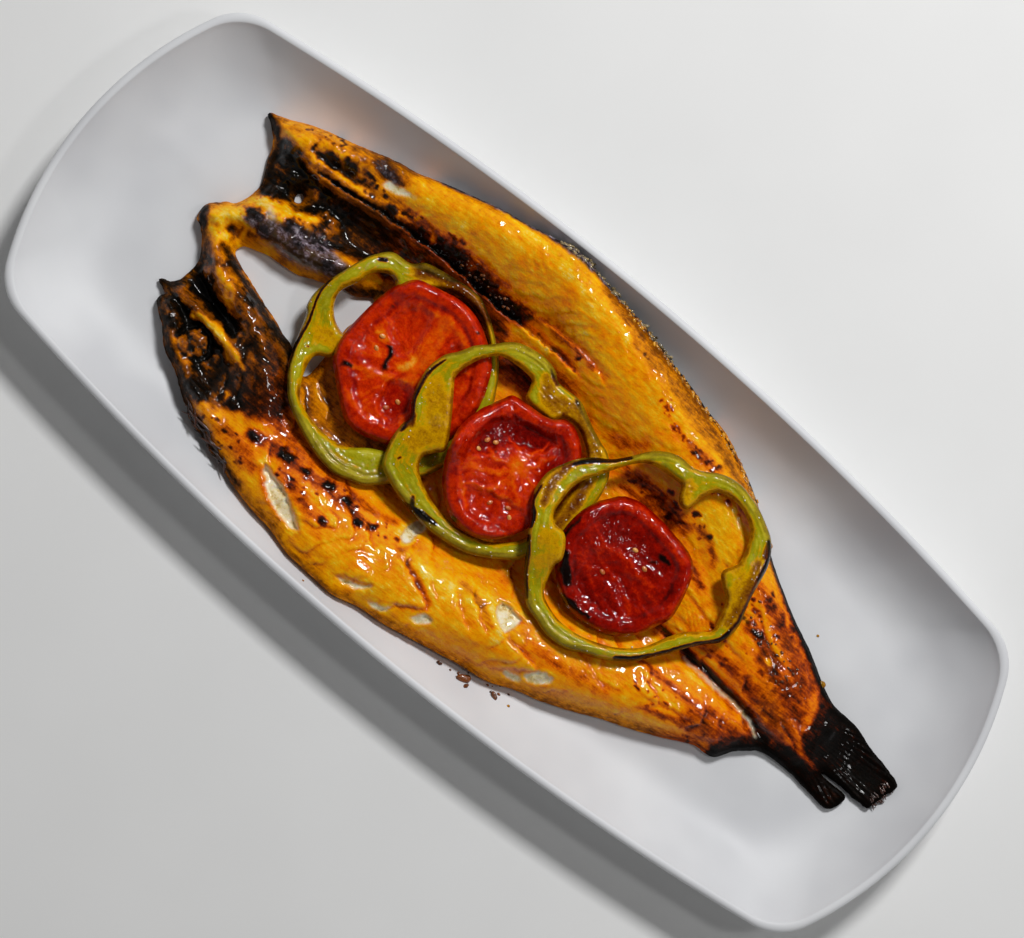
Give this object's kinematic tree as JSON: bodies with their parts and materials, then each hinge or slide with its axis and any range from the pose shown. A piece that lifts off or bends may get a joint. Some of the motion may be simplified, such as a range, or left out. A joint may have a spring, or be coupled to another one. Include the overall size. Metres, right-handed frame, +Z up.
{
  "type": "butterflied grilled fish on a tray",
  "caption": "Butterflied grilled fish with a split head and charred edges, topped with pepper rings and tomato slices, served on a long white tray.",
  "frame": {"origin": "middle of the tray in plan, at the underside of its foot, which is the lowest point of the part", "axes": "+X along the tray's length from the fish's head towards its tail, +Y across the tray towards the deeper fillet, +Z up"},
  "size_m": [0.38, 0.1574, 0.0341],
  "materials": {
    "white_glaze": "gloss",
    "grilled_flesh": "satin",
    "grilled_pepper": "satin",
    "grilled_tomato": "gloss"
  },
  "bodies": {
    "root": {"tray": "white_glaze", "fish": "grilled_flesh", "pepper_ring_1": "grilled_pepper", "pepper_ring_2": "grilled_pepper", "pepper_ring_3": "grilled_pepper", "tomato_slice_1": "grilled_tomato", "tomato_slice_2": "grilled_tomato", "tomato_slice_3": "grilled_tomato"}
  },
  "joints": []
}
